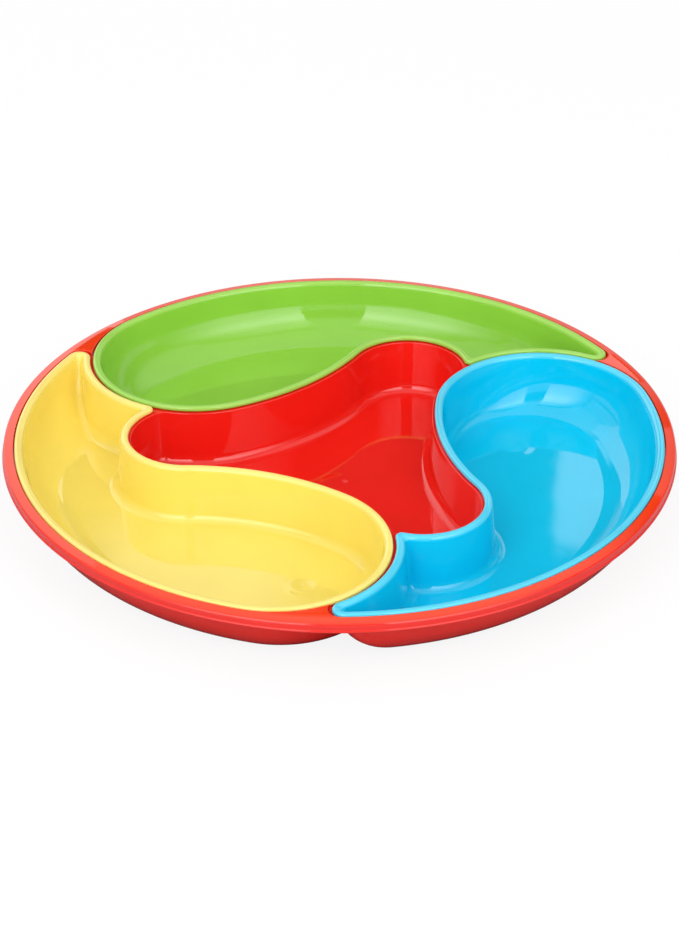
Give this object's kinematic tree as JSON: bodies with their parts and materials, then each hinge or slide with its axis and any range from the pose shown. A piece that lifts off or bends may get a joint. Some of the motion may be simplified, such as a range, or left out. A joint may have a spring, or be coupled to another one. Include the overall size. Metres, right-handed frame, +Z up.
{
  "type": "snack plate",
  "caption": "Round moulded serving tray with comma-shaped loose bowls that swirl around a lobed centre well and lift straight out.",
  "frame": {"origin": "on the tray's round axis, in the plane that the tray stands on", "axes": "+Z up along the tray's axis, +Y from the front towards the green bowl at the back, +X to the right with the blue bowl's round end on that side"},
  "size_m": [0.32, 0.32, 0.032],
  "materials": {
    "red_plastic": "high gloss moulded",
    "green_plastic": "high gloss moulded",
    "yellow_plastic": "high gloss moulded",
    "blue_plastic": "high gloss moulded"
  },
  "bodies": {
    "tray": {"serving_tray": "red_plastic"},
    "green_bowl": {"green_bowl": "green_plastic"},
    "yellow_bowl": {"yellow_bowl": "yellow_plastic"},
    "blue_bowl": {"blue_bowl": "blue_plastic"}
  },
  "joints": [
    {"name": "green_bowl_lift", "type": "slide", "parent": "tray", "child": "green_bowl", "axis": [0, 0, 1], "range_m": [0, 0.06]},
    {"name": "yellow_bowl_lift", "type": "slide", "parent": "tray", "child": "yellow_bowl", "axis": [0, 0, 1], "range_m": [0, 0.06]},
    {"name": "blue_bowl_lift", "type": "slide", "parent": "tray", "child": "blue_bowl", "axis": [0, 0, 1], "range_m": [0, 0.06]}
  ]
}
